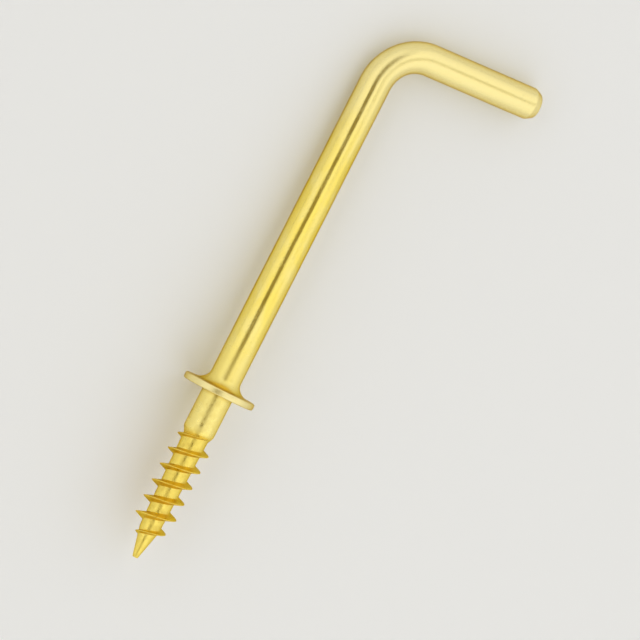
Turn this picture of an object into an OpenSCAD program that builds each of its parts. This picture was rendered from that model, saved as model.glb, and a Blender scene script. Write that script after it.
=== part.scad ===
// Square cup hook: a wood screw, a round collar and a straight arm, formed from one length of wire.
// It lies at rest on z = 0, on its collar and the length of its arm, screw towards -X, arm towards -Y.
// Millimetres. The origin is at the middle of the hook's own box, on the surface that it lies on.

/* [Wire] */
// Diameter of the wire that makes the shank and the arm
wire_d = 2.6; // [1.8:0.1:3.6]
// Inside radius of the bend
bend_inner_r = 2.3; // [0.6:0.1:4]
// Inside angle between shank and arm
hook_angle = 93.5; // [90:0.5:110]

/* [Hook] */
// From the collar's seat to the outside of the arm, in line with the shank
drop = 32; // [20:0.5:60]
// From the shank's axis to the arm's cut end, along the arm
arm_len = 13.2; // [10:0.1:30]
// Length of the bevel on the arm's cut end
cut_bevel_len = 0.6; // [0.1:0.05:1.5]
// Depth of that bevel, across the wire
cut_bevel_depth = 0.3; // [0.05:0.05:0.6]

/* [Collar] */
// Diameter of the collar
collar_d = 6.1; // [4.8:0.1:9]
// Thickness of the collar at its rim
collar_t = 0.55; // [0.4:0.05:1.5]
// Rounding of the rim's edges
rim_round_r = 0.15; // [0.05:0.05:0.2]
// Reach of the flare behind the collar, out from the shank
flare_w = 1.2; // [0.4:0.05:1.3]
// Height of the flare, along the shank
flare_h = 0.95; // [0.4:0.05:2.5]

/* [Screw] */
// From the collar's seat to the screw's tip
screw_len = 14.4; // [10:0.2:30]
// Length of the plain part under the collar
plain_len = 3.3; // [1:0.1:5]
// Diameter of the plain part
plain_d = 2.6; // [2.4:0.05:3.1]
// Length of the step from the plain part to the thread's root
step_len = 0.5; // [0.2:0.05:1.5]
// Diameter of the thread's root at that step
root_d = 2.1; // [1.8:0.05:2.3]
// Diameter of the root where the point begins
root_end_d = 1.65; // [1.2:0.05:1.75]
// Length of the point
point_len = 2.5; // [1.5:0.1:4]
// Diameter of the blunt tip
tip_d = 0.45; // [0.2:0.05:0.8]

/* [Thread] */
// Outside diameter of the thread
thread_d = 3.25; // [2.9:0.05:3.6]
// Distance from one ridge to the next
thread_pitch = 1.4; // [1:0.05:2.2]
// Thickness of the ridge at the root
ridge_root_w = 0.46; // [0.3:0.02:0.8]
// Thickness of the ridge at its crest
ridge_crest_w = 0.08; // [0.04:0.01:0.2]
// Smooth length of the point, ahead of the thread
thread_from_tip = 1.3; // [0.8:0.1:3]
// Turns in which the ridge rises to its full height at the plain part
run_out_turns = 0.9; // [0.5:0.1:2]
// Turns in which the ridge rises to its full height at the point
lead_in_turns = 1.3; // [0.5:0.1:2]

/* [Hidden] */

$fn = 96;
steps_per_turn = 20; // sections of the ridge in one turn
arc_steps = 6; // facets of each rounded edge of the collar
flare_steps = 10; // facets of the flare's curve
ridge_sink = 0.14; // depth of the ridge's foot inside the root
ridge_start = 0.1; // depth of the ridge's crest inside the screw where it begins and ends
bend_draw = 0.005; // how much the wire's radius shrinks as it is drawn round the bend
bend_lap = 0.02; // length of the bend that lies inside the shank and inside the arm

wire_r = wire_d / 2;
collar_r = collar_d / 2;
plain_r = plain_d / 2;
root_r = root_d / 2;
root_end_r = root_end_d / 2;
tip_r = tip_d / 2;
thread_r = thread_d / 2;

// The hook's own frame has the shank on Z, its seat at z = 0 and its arm over +X.
bend_r = bend_inner_r + wire_r; // at the wire's middle
turn_deg = 180 - hook_angle; // how far the wire turns in the bend
bend_reach = bend_r * tan(turn_deg / 2); // from the corner of the axes to each end of the bend
corner_z = drop - wire_r;
bend_z = corner_z - bend_reach;
step_z = -plain_len - step_len;
point_z = point_len - screw_len;

// The ridge starts inside the end of the plain part and runs down to the smooth point.
ridge_z0 = -plain_len;
ridge_z1 = thread_from_tip - screw_len;
ridge_turns = (ridge_z0 - ridge_z1) / thread_pitch;
ridge_steps = ceil(ridge_turns * steps_per_turn);

function mix(a, b, t) = a + (b - a) * min(1, max(0, t));

// Radius of the smooth body that carries the ridge, at height z
function body_r(z) =
    z > -plain_len ? plain_r
    : z > step_z ? mix(root_r, plain_r, (z - step_z) / step_len)
    : z > point_z ? mix(root_end_r, root_r, (z - point_z) / (step_z - point_z))
    : mix(tip_r, root_end_r, (z + screw_len) / point_len);

// Radius of the thread's root, which goes on up inside the plain part
function foot_r(z) = min(root_r, body_r(z)) - ridge_sink;

// Radius of the ridge's crest, in turns from its upper end
function crest_r(turn, z) =
    min(
        mix(plain_r - ridge_start, thread_r, turn / run_out_turns),
        mix(body_r(z) - ridge_start, thread_r, (ridge_turns - turn) / lead_in_turns)
    );

function arc(center, r, from, to, n) =
    [for (i = [0:n]) center + r * [cos(mix(from, to, i / n)), sin(mix(from, to, i / n))]];

// The curve of the flare, from the collar's back to the shank
function flare(w, h) =
    [for (i = [0:flare_steps]) [
        wire_r + w * (1 - sin(90 * i / flare_steps)),
        collar_t + h * (1 - cos(90 * i / flare_steps))
    ]];

// Screw body, collar and shank are one turned outline, from the tip up to the bend.
module straight_run() {
    flare_fit_w = min(flare_w, collar_r - rim_round_r - wire_r);
    rotate_extrude()
        polygon(concat(
            [
                [0, -screw_len],
                [tip_r, -screw_len],
                [root_end_r, point_z],
                [root_r, step_z],
                [plain_r, -plain_len],
                [plain_r, 0]
            ],
            arc([collar_r - rim_round_r, rim_round_r], rim_round_r, -90, 0, arc_steps),
            arc([collar_r - rim_round_r, collar_t - rim_round_r], rim_round_r, 0, 90, arc_steps),
            flare(flare_fit_w, flare_h),
            [[wire_r, bend_z], [0, bend_z]]
        ));
}

// A right-hand helical ridge: each section has two points at its foot and two at its crest.
module thread_ridge() {
    flank = (ridge_root_w - ridge_crest_w) / 2 / (thread_r - root_r); // widening for each mm inwards
    sections = [
        for (i = [0:ridge_steps])
        let (
            turn = ridge_turns * i / ridge_steps,
            z = ridge_z0 - thread_pitch * turn,
            foot = foot_r(z),
            crest = max(crest_r(turn, z), foot + ridge_crest_w),
            half_crest = ridge_crest_w / 2,
            half_foot = half_crest + flank * (crest - foot),
            out = [cos(360 * turn), -sin(360 * turn)]
        )
        [
            [foot * out[0], foot * out[1], z + half_foot],
            [crest * out[0], crest * out[1], z + half_crest],
            [crest * out[0], crest * out[1], z - half_crest],
            [foot * out[0], foot * out[1], z - half_foot]
        ]
    ];
    points = [for (s = sections) for (p = s) p];
    sides = [
        for (i = [0:ridge_steps - 1]) for (j = [0:3])
        let (k = (j + 1) % 4)
        [4 * i + j, 4 * i + k, 4 * (i + 1) + k, 4 * (i + 1) + j]
    ];
    last = 4 * ridge_steps;
    polyhedron(points, concat(sides, [[3, 2, 1, 0], [last, last + 1, last + 2, last + 3]]));
}

module bend() {
    lap_deg = bend_lap / bend_r * 180 / PI;
    translate([bend_r, 0, bend_z])
        rotate([90, 0, 0])
        rotate([0, 0, hook_angle - lap_deg])
        rotate_extrude(angle = turn_deg + 2 * lap_deg)
        translate([bend_r, 0])
        circle(wire_r - bend_draw);
}

// The arm is cut square, with a bevel round the cut.
module arm() {
    straight_len = arm_len - bend_reach;
    translate([bend_r * (1 - cos(turn_deg)), 0, bend_z + bend_r * sin(turn_deg)])
        rotate([0, turn_deg, 0])
        rotate_extrude()
        polygon([
            [0, 0],
            [wire_r, 0],
            [wire_r, straight_len - cut_bevel_len],
            [wire_r - cut_bevel_depth, straight_len],
            [0, straight_len]
        ]);
}

// Lying pose. The shank slopes by rest_pitch, so that the rim's lower edge and the arm both touch z = 0,
// and it rolls a little on its axis, so that the arm lies along the surface.
rim_gap = corner_z - (collar_t - rim_round_r); // along the shank, from the corner to the rim's rounding
rim_arm = collar_r - rim_round_r;
rest_pitch = acos((wire_r - rim_round_r) / norm([rim_arm, rim_gap])) - atan2(rim_gap, rim_arm);
lean = hook_angle - 90;
rest_roll = -asin(tan(rest_pitch) * tan(lean));

// Directions of shank and arm as they lie, both starting at the corner of their axes
shank_dir = [cos(rest_pitch), 0, -sin(rest_pitch)];
arm_dir = [
    cos(rest_pitch) * sin(lean) - sin(rest_pitch) * cos(lean) * sin(rest_roll),
    -cos(lean) * cos(rest_roll),
    0
];

// How far a disc of radius r, standing across direction dir at c, reaches along X or Y
function reach(c, dir, r, axis) = c[axis] + r * sqrt(1 - dir[axis] * dir[axis]);

tip_x = -reach((corner_z + screw_len) * shank_dir, shank_dir, tip_r, 0);
arm_x = max(
    reach((arm_len - cut_bevel_len) * arm_dir, arm_dir, wire_r, 0),
    reach(arm_len * arm_dir, arm_dir, wire_r - cut_bevel_depth, 0)
);
arm_y = -max(
    reach(-arm_len * arm_dir, arm_dir, wire_r - cut_bevel_depth, 1),
    reach(-(arm_len - cut_bevel_len) * arm_dir, arm_dir, wire_r, 1)
);

module laid_down() {
    translate([-(tip_x + arm_x) / 2, -(collar_r + arm_y) / 2, wire_r])
        rotate([0, rest_pitch, 0])
        rotate([rest_roll, 0, 0])
        rotate([-90, 0, 0])
        rotate([0, 90, 0])
        translate([0, 0, -corner_z])
        children();
}

module cup_hook() {
    color([0.86, 0.76, 0.38])
        laid_down() {
            straight_run();
            bend();
            arm();
            thread_ridge();
        }
}

cup_hook();
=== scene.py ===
import math

import bpy
import numpy as np
from mathutils import Matrix, Vector


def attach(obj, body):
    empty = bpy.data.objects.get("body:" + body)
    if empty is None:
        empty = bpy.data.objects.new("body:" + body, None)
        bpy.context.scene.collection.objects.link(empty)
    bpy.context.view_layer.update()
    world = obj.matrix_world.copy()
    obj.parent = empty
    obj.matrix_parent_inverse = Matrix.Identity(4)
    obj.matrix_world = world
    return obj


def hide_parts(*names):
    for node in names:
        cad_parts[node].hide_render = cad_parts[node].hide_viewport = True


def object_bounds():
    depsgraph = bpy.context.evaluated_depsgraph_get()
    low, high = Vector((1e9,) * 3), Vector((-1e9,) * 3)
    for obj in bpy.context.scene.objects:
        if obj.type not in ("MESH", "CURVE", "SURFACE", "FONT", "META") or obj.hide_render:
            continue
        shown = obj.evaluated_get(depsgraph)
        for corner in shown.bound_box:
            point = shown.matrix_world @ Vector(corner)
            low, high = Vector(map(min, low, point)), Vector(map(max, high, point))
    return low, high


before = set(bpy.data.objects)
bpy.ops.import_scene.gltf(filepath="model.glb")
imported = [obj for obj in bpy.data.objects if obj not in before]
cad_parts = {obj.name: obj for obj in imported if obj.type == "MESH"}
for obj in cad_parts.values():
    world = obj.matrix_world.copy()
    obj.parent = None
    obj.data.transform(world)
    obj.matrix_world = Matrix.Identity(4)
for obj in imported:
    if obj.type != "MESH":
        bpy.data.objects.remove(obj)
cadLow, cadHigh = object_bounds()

mm = 0.001

# Sizes in millimetres. The hook's own frame has its shank on Z, the collar's seat at z = 0
# and its arm over +X.
hookSizes = {
    "wireRadius": 1.3,
    "bendRadius": 3.6,  # at the wire's middle
    "hookAngle": 93.5,  # inside angle between shank and arm, in degrees
    "drop": 32.0,  # from the collar's seat to the outside of the arm
    "armLength": 13.2,  # from the shank's axis to the cut end
    "cutBevelLength": 0.6,
    "cutBevelDepth": 0.3,
    "collarRadius": 3.05,
    "collarThickness": 0.55,
    "rimRound": 0.15,
    "flareWidth": 1.2,
    "flareHeight": 0.95,
    "screwLength": 14.4,
    "plainLength": 3.3,
    "plainRadius": 1.3,
    "stepLength": 0.5,
    "rootRadius": 1.05,
    "rootEndRadius": 0.825,
    "pointLength": 2.5,
    "tipRadius": 0.225,
    "threadRadius": 1.625,
    "threadPitch": 1.4,
    "ridgeRootWidth": 0.46,
    "ridgeCrestWidth": 0.08,
    "threadFromTip": 1.3,
    "runOutTurns": 0.9,
    "leadInTurns": 1.3,
    "ridgeStart": 0.1,  # how deep the crest lies inside the screw where the ridge begins and ends
    "rootFillet": 0.07,
    "seatFillet": 0.05,
    "edgeRound": 0.06,  # small rounding of the cut end's and the tip's edges
}

# how many points and rows the surface has
hookGrid = {
    "columns": 72,  # round the wire, and rows in one pitch of the thread
    "tipRows": 5,
    "plainRows": 12,
    "seatRows": 7,
    "rimRows": 7,
    "flareRows": 17,
    "shankRows": 90,
    "bendRows": 40,
    "armRows": 34,
}

hookForming = {
    "bendFlat": 0.02,  # how much the wire flattens in the bend, as a share of its radius
    "wander": 0.006,  # unevenness of the drawn wire, in millimetres
    "rimWander": 0.02,  # unevenness of the pressed collar's rim
}

# where the finish and the painted corner shade change, in millimetres along the wire unless a note
# says otherwise
finishAndShadePlaces = {
    "seatCorner": (-0.05, 0.14),  # middle and width of the line of painted shade in the corner under the collar, which is also rougher
    "flareCorner": (0.62, 0.12),  # and of the one on the collar's back
    "ridgeFoot": (0.06, 0.05),  # and of the one at the ridge's foot, as shares of its height
    "flareCrease": 0.6,  # how dark the painted shade and how rough the collar's back is, where the seat's corner is 1
    "ridgeCrease": 0.7,
    "screwTop": (0.3, 0.9),  # where the screw's finish begins, and how long it takes to be full
    "threadTop": (0.4, 0.9),  # the same for the thread's, above the plain part's end
    "lowShank": (9, 7),  # for the softer shank behind the collar, towards the collar
    "lowEnd": 1.5,  # how far under the seat that ends
    "collarEdge": (1.9, 0.5),  # for the collar, outwards from the wire's middle
    "cutFace": (0.06, 0.05),  # for the cut, before it
    "armPaling": (9, 12),  # for the pale arm, before the bend
}


def ease(t):
    # smooth step: three times the square less twice the cube, held level outside 0 to 1
    t = np.clip(t, 0, 1)
    return t * t * (3 - 2 * t)


def arcRows(centreZ, centreR, radius, start, end, count):
    # points of an arc in the plane of z and r, angles in degrees from outwards towards +Z:
    # z = centre + radius * sin(angle), r = centre + radius * cos(angle)
    angle = np.radians(np.linspace(start, end, count))
    return np.stack([centreZ + radius * np.sin(angle), centreR + radius * np.cos(angle)], 1)


def bodyRadius(z, s):
    # radius of the smooth body under the thread: straight cones between the named places
    places = [
        -s["screwLength"],
        s["pointLength"] - s["screwLength"],
        -s["plainLength"] - s["stepLength"],
        -s["plainLength"],
    ]
    radii = [s["tipRadius"], s["rootEndRadius"], s["rootRadius"], s["plainRadius"]]
    return np.interp(z, places, radii)


def softBody(z, s, reach=0.09, samples=7):
    # the same body with its corners eased: the mean of the radii within reach of z
    offsets = np.linspace(-reach, reach, samples)
    return np.mean([bodyRadius(z + o, s) for o in offsets], axis=0)


def threadRadiusAt(z, angle, s):
    # radius at height z and angle: the larger of body and ridge, filleted where they meet.
    # The ridge's middle climbs by one pitch in each turn, and its section is a hyperbola:
    # crest + c - sqrt((slope * distance)^2 + c^2), with c = slope * half the crest's width.
    pitch = s["threadPitch"]
    upper = -s["plainLength"]
    turnsInAll = (upper - (s["threadFromTip"] - s["screwLength"])) / pitch
    turns = (upper - z) / pitch
    share = np.mod(-angle / (2 * math.pi), 1)
    nearest = share + np.round(turns - share)
    distance = (turns - nearest) * pitch
    body = softBody(z, s)
    runOut = np.clip(nearest / s["runOutTurns"], 0, 1)
    leadIn = np.clip((turnsInAll - nearest) / s["leadInTurns"], 0, 1)
    hidden = bodyRadius(upper - nearest * pitch, s) - s["ridgeStart"]
    start = s["plainRadius"] - s["ridgeStart"]
    crest = np.minimum(
        start + (s["threadRadius"] - start) * runOut,
        hidden + (s["threadRadius"] - hidden) * leadIn,
    )
    fullHeight = s["threadRadius"] - s["rootRadius"]
    slope = 2 * fullHeight / (s["ridgeRootWidth"] - s["ridgeCrestWidth"])
    curve = slope * s["ridgeCrestWidth"] / 2
    ridge = crest + curve - np.sqrt((slope * distance) ** 2 + curve ** 2)
    gap = np.abs(body - ridge)
    fillet = s["rootFillet"]
    radius = (body + ridge + np.sqrt(gap ** 2 + fillet ** 2)) / 2
    radius = radius - fillet ** 2 / 4 / np.maximum(gap, fillet)
    return radius, np.clip((radius - body) / fullHeight, 0, 1)


def profileRows(s, grid):
    # rows of (distance along the wire's middle, radius), from the tip to the cut end. The bend
    # takes bendRadius * turn of that distance, and reaches bendRadius * tan(turn / 2) each way.
    wire = s["wireRadius"]
    turn = math.radians(180 - s["hookAngle"])
    reach = s["bendRadius"] * math.tan(turn / 2)
    bendZ = s["drop"] - wire - reach
    bendEnd = bendZ + s["bendRadius"] * turn
    wireEnd = bendEnd + s["armLength"] - reach
    tipRound = s["edgeRound"]
    tipZ = -s["screwLength"]
    tip = np.concatenate([
        [[tipZ, 0.0], [tipZ, s["tipRadius"] * 0.5]],
        arcRows(tipZ + tipRound, s["tipRadius"] - tipRound, tipRound, -90, -10, grid["tipRows"]),
        [[tipZ + 2 * tipRound, s["tipRadius"] + tipRound / 2]],
    ])
    step = s["threadPitch"] / grid["columns"]
    upper = -s["plainLength"]
    lowerCount = int((upper - (tipZ + 0.2)) / step)
    upperCount = int(0.45 / step)  # fine rows go on this far into the plain part
    threadZ = upper + step * np.arange(-lowerCount, upperCount + 1)
    thread = np.stack([threadZ, np.zeros_like(threadZ)], 1)  # its radius comes from threadRadiusAt
    plainR = s["plainRadius"]
    corner = s["seatFillet"]
    plainZ = np.linspace(threadZ[-1] + 0.1, -2 * corner, grid["plainRows"])
    plain = np.stack([plainZ, np.full_like(plainZ, plainR)], 1)
    rimR = s["collarRadius"] - s["rimRound"]
    seatR = np.linspace(plainR + 2 * corner, rimR - 0.05, grid["seatRows"])
    flareAngle = np.linspace(0, math.pi / 2, grid["flareRows"])
    flare = np.stack([
        s["collarThickness"] + s["flareHeight"] * (1 - np.cos(flareAngle)),
        wire + s["flareWidth"] * (1 - np.sin(flareAngle)),
    ], 1)
    collar = np.concatenate([
        [[-corner, plainR], [-0.3 * corner, plainR + 0.3 * corner], [0, plainR + corner]],
        np.stack([np.zeros_like(seatR), seatR], 1),
        arcRows(s["rimRound"], rimR, s["rimRound"], -90, 0, grid["rimRows"]),
        arcRows(s["collarThickness"] - s["rimRound"], rimR, s["rimRound"], 0, 90, grid["rimRows"]),
        [[s["collarThickness"], rimR - 0.1]],
        flare,
    ])
    shankZ = np.linspace(flare[-1, 0] + 0.15, bendZ - 0.1, grid["shankRows"])
    bendS = np.linspace(bendZ, bendEnd, grid["bendRows"])
    bevelS = wireEnd - s["cutBevelLength"]
    armS = np.linspace(bendEnd + 0.1, bevelS - 0.12, grid["armRows"])
    straight = np.concatenate([shankZ, bendS, armS])
    wireRows = np.stack([straight, np.full_like(straight, wire)], 1)
    endR = wire - s["cutBevelDepth"]
    slope = s["cutBevelDepth"] / s["cutBevelLength"]
    r = s["edgeRound"]
    end = np.array([  # the bevel and the cut, with soft edges and a very shallow hollow
        [bevelS - 0.05, wire],
        [bevelS, wire - 0.006],
        [bevelS + 0.05, wire - 0.05 * slope],
        [bevelS + 0.2, wire - 0.2 * slope],
        [wireEnd - 0.2, endR + 0.2 * slope],
        [wireEnd - 0.07, endR + 0.06 * slope],
        [wireEnd - 0.03, endR - 0.1 * r],
        [wireEnd - 0.008, endR - 0.5 * r],
        [wireEnd, endR - r],
        [wireEnd, endR - 3 * r],
        [wireEnd - 0.01, endR * 0.5],
        [wireEnd - 0.015, 0.0],
    ])
    rows = np.concatenate([tip, thread, plain, collar, wireRows, end])
    threadRows = slice(len(tip), len(tip) + len(thread))
    return rows, threadRows, bendZ, bendEnd, wireEnd


def layingMatrix(s):
    # lays the hook on its collar's rim and the length of its arm, as it comes to rest: the
    # slope puts the rim's lower edge and the arm on one level, and the roll levels the arm
    wire = s["wireRadius"]
    turn = math.radians(180 - s["hookAngle"])
    lean = math.radians(s["hookAngle"] - 90)
    cornerZ = s["drop"] - wire
    rimGap = cornerZ - (s["collarThickness"] - s["rimRound"])
    rimArm = s["collarRadius"] - s["rimRound"]
    pitch = math.acos((wire - s["rimRound"]) / math.hypot(rimArm, rimGap)) - math.atan2(rimGap, rimArm)
    roll = -math.asin(math.tan(pitch) * math.tan(lean))
    return (
        Matrix.Rotation(pitch, 4, "Y")
        @ Matrix.Rotation(roll, 4, "X")
        @ Matrix.Rotation(-math.pi / 2, 4, "X")
        @ Matrix.Rotation(math.pi / 2, 4, "Y")
        @ Matrix.Translation((0, 0, -cornerZ))
    )


def shadeAndMattLine(value, place):
    # a line of painted corner shade, which is also rougher: 1 at the place's middle, falling off to
    # both sides as exp(-((value - middle) / width)^2)
    middle, width = place
    return np.exp(-((value - middle) / width) ** 2)


def hookSurface(s, grid, f, places):
    # a tube along the wire's middle line, which is straight, then an arc, then straight:
    # point = middle + radius * (cos(angle) * direction in the bend's plane + sin(angle) * Y)
    rows, threadRows, bendZ, bendEnd, wireEnd = profileRows(s, grid)
    columns = grid["columns"]
    angle = np.arange(columns) * 2 * math.pi / columns
    along = rows[:, 0][:, None] + np.zeros(columns)
    radius = rows[:, 1][:, None] + np.zeros(columns)
    angles = angle[None, :] + np.zeros((len(rows), 1))
    height = np.zeros_like(radius)
    radius[threadRows], height[threadRows] = threadRadiusAt(along[threadRows], angles[threadRows], s)

    # unevenness: slow waves round and along the wire, none on the screw or at the cut
    bendShare = np.clip((along - bendZ) / (bendEnd - bendZ), 0, 1)
    inBend = np.sin(math.pi * bendShare) ** 2
    onWire = ease((along - 1.6) / 2) * ease((wireEnd - 0.7 - along) / 2)
    wave = (
        np.sin(2 * angles + 0.9 * np.sin(0.37 * along) + 0.21 * along)
        + 0.6 * np.sin(3 * angles - 0.31 * along + 1.1)
        + 0.5 * np.sin(0.83 * along + 0.4 * np.sin(angles))
    )
    radius = radius + f["wander"] * onWire * wave * np.minimum(1, radius)
    radius = radius * (1 - f["bendFlat"] * inBend * np.cos(angles) ** 2)
    rimShare = ease((radius - 2.2) / 0.6) * (np.abs(along - 0.3) < 0.5)
    rimWave = np.sin(2 * angles + 0.6) + 0.5 * np.sin(5 * angles) - 1.3  # stays inside the rim
    radius = radius + f["rimWander"] * rimShare * rimWave

    turn = np.clip(along - bendZ, 0, bendEnd - bendZ) / s["bendRadius"]
    below = np.minimum(along - bendZ, 0)
    beyond = np.maximum(along - bendEnd, 0)
    middleX = s["bendRadius"] * (1 - np.cos(turn)) + beyond * np.sin(turn)
    middleZ = bendZ + below + s["bendRadius"] * np.sin(turn) + beyond * np.cos(turn)
    points = np.stack([
        middleX + radius * np.cos(angles) * np.cos(turn),
        radius * np.sin(angles),
        middleZ - radius * np.cos(angles) * np.sin(turn),
    ], 2)
    straight = np.stack([radius * np.cos(angles), radius * np.sin(angles), along], 2)

    # shares from 0 to 1 that tell the finish and the painted shade where it is
    # painted shade in the corners under the collar, on its back and at the ridge's foot; the material
    # also makes them rougher
    seatCorner = shadeAndMattLine(along, places["seatCorner"]) * (radius < s["plainRadius"] + 0.3)
    flareCorner = shadeAndMattLine(along, places["flareCorner"]) * (radius > 1.9) * (radius < 2.7)
    ridgeFoot = shadeAndMattLine(height, places["ridgeFoot"]) * (along < -s["plainLength"])
    crease = seatCorner + places["flareCrease"] * flareCorner + places["ridgeCrease"] * ridgeFoot
    screwTop, screwRun = places["screwTop"]
    threadTop, threadRun = places["threadTop"]
    lowTop, lowRun = places["lowShank"]
    lowEnd = places["lowEnd"]
    collarEdge, collarRun = places["collarEdge"]
    beforeCut, cutRun = places["cutFace"]
    beforeBend, palingRun = places["armPaling"]
    marks = {
        "ridgeHeight": height,
        "screwShare": ease((screwTop - along) / screwRun),
        "lowShare": ease((lowTop - along) / lowRun) * ease((along + lowEnd) / lowEnd),
        "collarShare": ease((radius - collarEdge) / collarRun),
        "threadShare": ease((threadTop - s["plainLength"] - along) / threadRun),
        "crease": np.clip(crease, 0, 1),
        "cutFace": ease((along - wireEnd + beforeCut) / cutRun),
        "armShare": ease((along - bendZ + beforeBend) / palingRun),
    }
    return points, straight, marks


def gridFaces(rowCount, columns):
    # tube of triangles with a pole at each end: each square of the grid is cut from its corner
    # (row, column) to (row + 1, column + 1), and the last column joins the first
    i = np.arange(1, rowCount - 2)[:, None]
    j = np.arange(columns)[None, :]
    k = (j + 1) % columns
    a = 1 + (i - 1) * columns + j
    b = 1 + (i - 1) * columns + k
    c = 1 + i * columns + k
    d = 1 + i * columns + j
    first = np.stack([a, b, c], 2).reshape(-1, 3)
    second = np.stack([a, c, d], 2).reshape(-1, 3)
    last = 1 + (rowCount - 2) * columns
    top = 1 + (rowCount - 3) * columns
    j = np.arange(columns)
    k = (j + 1) % columns
    lowCap = np.stack([np.zeros_like(j), 1 + k, 1 + j], 1)
    highCap = np.stack([np.full_like(j, last), top + j, top + k], 1)
    return np.concatenate([first, second, lowCap, highCap])


def pointAttribute(mesh, name, values, kind):
    # one number or vector for each point, for the material to read
    field = "vector" if kind == "FLOAT_VECTOR" else "value"
    layer = mesh.attributes.new(name, kind, "POINT")
    layer.data.foreach_set(field, values.astype(np.float32).ravel())


def makeHook(s, grid, f, places):
    # the surface laid down by the laying matrix, then moved so that the middle of its box in
    # X and Y is the CAD model's, and turned into one mesh in metres
    points, straight, marks = hookSurface(s, grid, f, places)
    rowCount, columns = points.shape[:2]

    def tube(values):
        # one value at each pole, and the full rings between them
        flat = values.reshape(rowCount, columns, -1)
        return np.concatenate([flat[0, :1], flat[1:-1].reshape(-1, flat.shape[2]), flat[-1, :1]])

    turned = np.array(layingMatrix(s))
    placed = tube(points) @ turned[:3, :3].T + turned[:3, 3]
    cadMiddle = (np.array(cadLow) + np.array(cadHigh)) / 2 / mm
    shift = cadMiddle - (placed.min(0) + placed.max(0)) / 2
    shift[2] = s["wireRadius"]
    placed = (placed + shift) * mm

    faces = gridFaces(rowCount, columns)
    mesh = bpy.data.meshes.new("cupHook")
    mesh.vertices.add(len(placed))
    mesh.vertices.foreach_set("co", placed.astype(np.float32).ravel())
    mesh.loops.add(faces.size)
    mesh.loops.foreach_set("vertex_index", faces.astype(np.int32).ravel())
    mesh.polygons.add(len(faces))
    mesh.polygons.foreach_set("loop_start", np.arange(0, faces.size, 3, dtype=np.int32))
    mesh.polygons.foreach_set("use_smooth", np.ones(len(faces), bool))
    mesh.update(calc_edges=True)
    mesh.validate()
    pointAttribute(mesh, "wirePlace", tube(straight), "FLOAT_VECTOR")
    for name, values in marks.items():
        pointAttribute(mesh, name, tube(values), "FLOAT")
    hook = bpy.data.objects.new("cupHook", mesh)
    bpy.context.scene.collection.objects.link(hook)
    print("hook:", len(placed), "points,", len(faces), "triangles")
    return hook


brassLook = {
    "bright": (0.95, 0.752, 0.15, 1),
    "pale": (0.96, 0.797, 0.25, 1),  # where the plating is thin
    "arm": (0.95, 0.82, 0.38, 1),
    "plain": (0.99, 0.83, 0.27, 1),  # the screw's plain part
    "collar": (0.92, 0.80, 0.39, 1),
    "thread": (0.99, 0.775, 0.15, 1),
    # the colour of the painted shade on the ridge's flanks and in the corners, and of small stains
    "shadeAndStainColour": (0.66, 0.48, 0.09, 1),
    "speck": (0.30, 0.23, 0.05, 1),
    "edgeTint": (0.6, 0.42, 0.12, 1),  # colour at a glancing angle
    "armBlend": 0.85,
    "lowBlend": 0.6,  # of the plain part's colour, on the shank near the collar
    "collarBlend": 0.8,
    "threadBlend": 0.9,
    # how far the painted shade darkens the ridge's flanks
    "flankShade": 0.28,
    # how far the painted shade darkens the corners
    "creaseShade": 0.55,
    "patchDull": 0.3,
    "stainDull": 0.07,
    "speckDark": 0.6,
    "roughness": (0.1, 0.22),  # smoothest and roughest plating on the wire
    "screwRoughness": (0.27, 0.5),
    "armRoughness": 0.27,
    "lowRoughness": 0.33,
    "creaseRoughness": 0.38,
    "cutRoughness": 0.36,
    "grainRoughness": 0.05,
    "lineScale": 7,  # drawn lines to a millimetre round the wire
    "lineStretch": 0.035,  # how much slower they change along the wire
    "broadScale": 0.9,  # thin and thick plating
    "broadStretch": 0.35,
    "patchScale": 2.2,
    "grainScale": 9,
    "speckScale": 2.6,
    "relief": 0.000012,  # metres
    "reliefStrength": 0.5,
    "lineRelief": 0.7,
    "grainRelief": 0.35,
    "broadRelief": 1.2,
    "scratchRelief": 0.3,
    "speckRelief": 0.4,
    "shearRelief": 2,  # of the lines that the cutter leaves on the cut face
}


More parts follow.
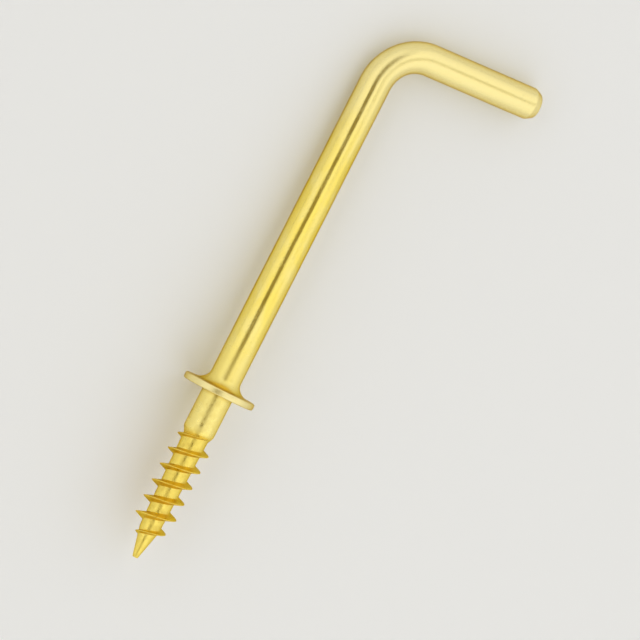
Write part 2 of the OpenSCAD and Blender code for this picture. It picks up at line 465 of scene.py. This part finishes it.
class Wiring:
    # short ways to add nodes to one material
    def __init__(self, material):
        material.use_nodes = True
        self.nodes = material.node_tree.nodes
        self.links = material.node_tree.links
        self.shader = self.nodes["Principled BSDF"]

    def join(self, source, target):
        if isinstance(source, bpy.types.NodeSocket):
            self.links.new(source, target)
        else:
            target.default_value = source

    def attribute(self, name, output):
        node = self.nodes.new("ShaderNodeAttribute")
        node.attribute_name = name
        return node.outputs[output]

    def stretched(self, vector, scale, turn=(0, 0, 0)):
        node = self.nodes.new("ShaderNodeMapping")
        node.inputs["Scale"].default_value = scale
        node.inputs["Rotation"].default_value = turn
        self.join(vector, node.inputs["Vector"])
        return node.outputs["Vector"]

    def noise(self, vector, scale, detail=3, rough=0.5, distortion=0.0):
        node = self.nodes.new("ShaderNodeTexNoise")
        node.inputs["Scale"].default_value = scale
        node.inputs["Detail"].default_value = detail
        node.inputs["Roughness"].default_value = rough
        node.inputs["Distortion"].default_value = distortion
        self.join(vector, node.inputs["Vector"])
        return node.outputs["Fac"]

    def cells(self, vector, scale):
        node = self.nodes.new("ShaderNodeTexVoronoi")
        node.inputs["Scale"].default_value = scale
        self.join(vector, node.inputs["Vector"])
        return node.outputs["Distance"]

    def remap(self, value, fromLow, fromHigh, toLow=0.0, toHigh=1.0):
        node = self.nodes.new("ShaderNodeMapRange")
        node.interpolation_type = "SMOOTHSTEP"
        node.inputs["From Min"].default_value = fromLow
        node.inputs["From Max"].default_value = fromHigh
        node.inputs["To Min"].default_value = toLow
        node.inputs["To Max"].default_value = toHigh
        self.join(value, node.inputs["Value"])
        return node.outputs["Result"]

    def calc(self, kind, first, second):
        node = self.nodes.new("ShaderNodeMath")
        node.operation = kind
        self.join(first, node.inputs[0])
        self.join(second, node.inputs[1])
        return node.outputs[0]

    def times(self, first, second):
        return self.calc("MULTIPLY", first, second)

    def plus(self, first, second):
        return self.calc("ADD", first, second)

    def less(self, first, second):
        return self.calc("SUBTRACT", first, second)

    def larger(self, first, second):
        return self.calc("MAXIMUM", first, second)

    def hairline(self, value, halfWidth):
        # 1 where the value passes one half, and 0 from halfWidth on to both sides
        offset = self.calc("ABSOLUTE", self.less(value, 0.5), 0)
        return self.remap(offset, 0, halfWidth, 1, 0)

    def blend(self, factor, first, second):
        node = self.nodes.new("ShaderNodeMix")
        node.data_type = "RGBA"
        self.join(factor, node.inputs["Factor"])
        self.join(first, node.inputs["A"])
        self.join(second, node.inputs["B"])
        return node.outputs["Result"]


def brassPlate(look):
    # plating over drawn wire. Everything reads the point's place on the straight wire, so that
    # the drawn lines follow the bend: x and y across the wire, z along it, in millimetres.
    material = bpy.data.materials.new("brassPlate")
    w = Wiring(material)
    w.shader.inputs["Metallic"].default_value = 1
    w.shader.inputs["Specular Tint"].default_value = look["edgeTint"]
    place = w.attribute("wirePlace", "Vector")
    ridge = w.attribute("ridgeHeight", "Fac")
    screw = w.attribute("screwShare", "Fac")
    thread = w.attribute("threadShare", "Fac")
    low = w.attribute("lowShare", "Fac")
    collar = w.attribute("collarShare", "Fac")
    crease = w.attribute("crease", "Fac")
    cut = w.attribute("cutFace", "Fac")
    arm = w.attribute("armShare", "Fac")

    # patterns, each from 0 to 1
    lines = w.noise(w.stretched(place, (1, 1, look["lineStretch"])), look["lineScale"], 4, 0.6)
    broadPlace = w.stretched(place, (1, 1, look["broadStretch"]))
    broad = w.noise(broadPlace, look["broadScale"], 4, 0.55, 0.4)
    patches = w.noise(place, look["patchScale"], 4, 0.6)
    grain = w.noise(place, look["grainScale"], 4, 0.6)
    specks = w.remap(w.cells(place, look["speckScale"]), 0.03, 0.09, 1, 0)
    specks = w.times(specks, w.remap(w.noise(place, 1.3, 1), 0.5, 0.62))  # only here and there
    scratchA = w.noise(w.stretched(place, (6, 0.5, 1.1), (0.4, 0.9, 0.3)), 3, 1)
    scratchB = w.noise(w.stretched(place, (0.4, 5, 0.7), (1.1, 0.2, 0.8)), 3, 1)
    scratches = w.larger(w.hairline(scratchA, 0.012), w.hairline(scratchB, 0.010))
    scratches = w.times(scratches, w.remap(broad, 0.45, 0.6))
    shear = w.noise(w.stretched(place, (14, 1.2, 1)), 2, 2)

    # colour: paler in patches, on the arm, the collar and the plain part, with painted shade on the
    # ridge's flanks and in the corners, and darker in small stains
    colour = w.blend(w.remap(broad, 0.4, 0.7), look["bright"], look["pale"])
    colour = w.blend(w.times(arm, look["armBlend"]), colour, look["arm"])
    colour = w.blend(w.times(low, look["lowBlend"]), colour, look["plain"])
    colour = w.blend(screw, colour, look["plain"])
    colour = w.blend(w.times(collar, look["collarBlend"]), colour, look["collar"])
    colour = w.blend(w.times(thread, look["threadBlend"]), colour, look["thread"])
    # painted shade on both flanks of the ridge
    flank = w.times(w.remap(ridge, 0.05, 0.3), w.remap(ridge, 0.75, 0.95, 1, 0))
    stain = w.times(w.remap(grain, 0.45, 0.75), look["stainDull"])
    patch = w.times(w.remap(patches, 0.5, 0.68), w.times(thread, look["patchDull"]))
    # the strongest of the painted shade on the flanks and in the corners, the stains and the thread's
    # patches
    shadeAndStains = w.larger(w.times(flank, look["flankShade"]), w.times(crease, look["creaseShade"]))
    shadeAndStains = w.larger(shadeAndStains, w.larger(stain, patch))
    colour = w.blend(shadeAndStains, colour, look["shadeAndStainColour"])
    colour = w.blend(w.times(specks, look["speckDark"]), colour, look["speck"])
    w.join(colour, w.shader.inputs["Base Color"])

    # roughness: the wire's own, or what the screw, the arm, a corner or the cut asks for
    roughness = w.remap(lines, 0.3, 0.75, *look["roughness"])
    roughness = w.plus(roughness, w.times(w.remap(grain, 0.4, 0.8), look["grainRoughness"]))
    screwMatt = w.times(screw, w.remap(patches, 0.36, 0.64, *look["screwRoughness"]))
    armMatt = w.times(w.remap(arm, 0.5, 1.0), look["armRoughness"])
    cornerMatt = w.times(crease, look["creaseRoughness"])
    cutMatt = w.times(cut, look["cutRoughness"])
    lowMatt = w.times(low, look["lowRoughness"])
    matt = w.larger(w.larger(screwMatt, armMatt), w.larger(cornerMatt, cutMatt))
    matt = w.larger(matt, lowMatt)
    w.join(w.larger(roughness, matt), w.shader.inputs["Roughness"])

    # relief
    relief = w.plus(w.times(lines, look["lineRelief"]), w.times(grain, look["grainRelief"]))
    relief = w.plus(relief, w.times(broad, look["broadRelief"]))
    relief = w.less(relief, w.times(scratches, look["scratchRelief"]))
    relief = w.less(relief, w.times(specks, look["speckRelief"]))
    relief = w.plus(relief, w.times(w.times(shear, cut), look["shearRelief"]))
    bump = w.nodes.new("ShaderNodeBump")
    bump.inputs["Strength"].default_value = look["reliefStrength"]
    bump.inputs["Distance"].default_value = look["relief"]
    w.join(relief, bump.inputs["Height"])
    w.join(bump.outputs["Normal"], w.shader.inputs["Normal"])
    print("material: brass plate")
    return material


hook = makeHook(hookSizes, hookGrid, hookForming, finishAndShadePlaces)
hook.data.materials.append(brassPlate(brassLook))
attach(hook, "root")
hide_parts("cup_hook")

# Camera: looks down at the hook from the side away from the arm, screw at the lower left
cameraSetup = {
    "direction": (0.076, 0.394, 0.916),  # from the hook to the camera
    "shank": (1, 0, -0.0577),  # the way the shank runs, from the screw to the bend
    "distance": 0.6,
    "shankOnScreen": 63.1,  # degrees above the horizontal
    "shownWidth": 0.0505,  # metres across the frame
    "target": (-0.0005, -0.0003, 0.0015),
    "sensor": 36,
}


def makeCamera(c):
    # stands back from the target by the distance, and is rolled until the shank shows at its
    # angle; lens = sensor * distance / shown width
    back = Vector(c["direction"]).normalized()
    shank = Vector(c["shank"]).normalized()
    flat = (shank - back * shank.dot(back)).normalized()
    side = back.cross(flat)
    tilt = math.radians(c["shankOnScreen"])
    right = flat * math.cos(tilt) - side * math.sin(tilt)
    up = flat * math.sin(tilt) + side * math.cos(tilt)
    data = bpy.data.cameras.new("camera")
    data.sensor_width = c["sensor"]
    data.lens = c["sensor"] * c["distance"] / c["shownWidth"]
    data.clip_start = 0.01
    data.clip_end = 20
    camera = bpy.data.objects.new("camera", data)
    bpy.context.scene.collection.objects.link(camera)
    place = Matrix((right, up, back)).transposed().to_4x4()
    place.translation = Vector(c["target"]) + back * c["distance"]
    camera.matrix_world = place
    bpy.context.scene.camera = camera
    print("camera: lens", round(data.lens), "mm")


makeCamera(cameraSetup)

# Lights: a white room, and a long soft box on each side. A card above the shank and one above
# the arm are seen in the metal as a thin dark line and a soft one.
lightSetup = {
    "boxAngles": {"armSideBox": (-28, 33), "farSideBox": (62, 22)},  # lean towards +Y, half width
    "boxDistance": 0.7,
    "boxLength": 3.2,
    "boxRadiance": 0.14,
    "overhead": (1, 1, 1, 1),
    "horizon": (0.76, 0.76, 0.76, 1),
}

stageSetup = {
    "floor": (0.89, 0.89, 0.88, 1),
    "floorSize": (6, 6),
    "cards": {
        "shankCard": {
            "middle": (-0.055, 0.29, 0.672),
            "size": (1.5, 0.33),
            "colour": (0.36, 0.31, 0.17, 1),
        },
        "armCard": {
            "middle": (0.137, -0.241, 0.575),
            "size": (0.15, 0.3),
            "colour": (0.76, 0.72, 0.52, 1),
        },
    },
}


def facing(middle):
    # turned so that its back points away from the hook, with its length over the shank
    out = Vector(middle).normalized()
    across = (Vector((1, 0, 0)) - out * out.x).normalized()
    place = Matrix((across, out.cross(across), out)).transposed().to_4x4()
    place.translation = Vector(middle)
    return place


def makeBox(name, lean, halfWidth, setup):
    # energy = radiance * pi * area, and width = 2 * distance * tan(half its angle)
    lean = math.radians(lean)
    middle = Vector((0, math.sin(lean), math.cos(lean))) * setup["boxDistance"]
    data = bpy.data.lights.new(name, "AREA")
    data.shape = "RECTANGLE"
    data.size = setup["boxLength"]
    data.size_y = 2 * setup["boxDistance"] * math.tan(math.radians(halfWidth))
    data.energy = setup["boxRadiance"] * math.pi * data.size * data.size_y
    lamp = bpy.data.objects.new(name, data)
    bpy.context.scene.collection.objects.link(lamp)
    lamp.matrix_world = facing(middle)
    lamp.visible_camera = False


def makeLights(setup):
    # the room's light goes from the horizon's level to the overhead one with the height of the
    # direction
    for name, (lean, halfWidth) in setup["boxAngles"].items():
        makeBox(name, lean, halfWidth, setup)
    world = bpy.data.worlds.new("room")
    world.use_nodes = True
    nodes = world.node_tree.nodes
    links = world.node_tree.links
    where = nodes.new("ShaderNodeTexCoord")
    parts = nodes.new("ShaderNodeSeparateXYZ")
    mix = nodes.new("ShaderNodeMix")
    mix.data_type = "RGBA"
    mix.inputs["A"].default_value = setup["horizon"]
    mix.inputs["B"].default_value = setup["overhead"]
    links.new(where.outputs["Generated"], parts.inputs["Vector"])
    links.new(parts.outputs["Z"], mix.inputs["Factor"])
    links.new(mix.outputs["Result"], nodes["Background"].inputs["Color"])
    bpy.context.scene.world = world
    print("lights:", len(setup["boxAngles"]), "soft boxes in a white room")


def plainMatt(name, colour):
    # paper and floor: one flat colour without shine
    material = bpy.data.materials.new(name)
    material.use_nodes = True
    shader = material.node_tree.nodes["Principled BSDF"]
    shader.inputs["Base Color"].default_value = colour
    shader.inputs["Roughness"].default_value = 0.9
    shader.inputs["Specular IOR Level"].default_value = 0.2
    return material


def makeSheet(name, size, material):
    # a flat sheet of one face, its middle at the origin
    x, y = size[0] / 2, size[1] / 2
    mesh = bpy.data.meshes.new(name)
    mesh.from_pydata([(-x, -y, 0), (x, -y, 0), (x, y, 0), (-x, y, 0)], [], [(0, 1, 2, 3)])
    mesh.materials.append(material)
    sheet = bpy.data.objects.new(name, mesh)
    bpy.context.scene.collection.objects.link(sheet)
    return sheet


def makeStage(setup):
    # the floor at z = 0, and the cards, which the camera doesn't see
    makeSheet("floor", setup["floorSize"], plainMatt("paleFloor", setup["floor"]))
    for name, card in setup["cards"].items():
        sheet = makeSheet(name, card["size"], plainMatt(name + "Paper", card["colour"]))
        sheet.matrix_world = facing(card["middle"])
        sheet.visible_camera = False
    print("stage: floor and", len(setup["cards"]), "cards")


makeLights(lightSetup)
makeStage(stageSetup)
bpy.context.scene.view_settings.view_transform = "Standard"
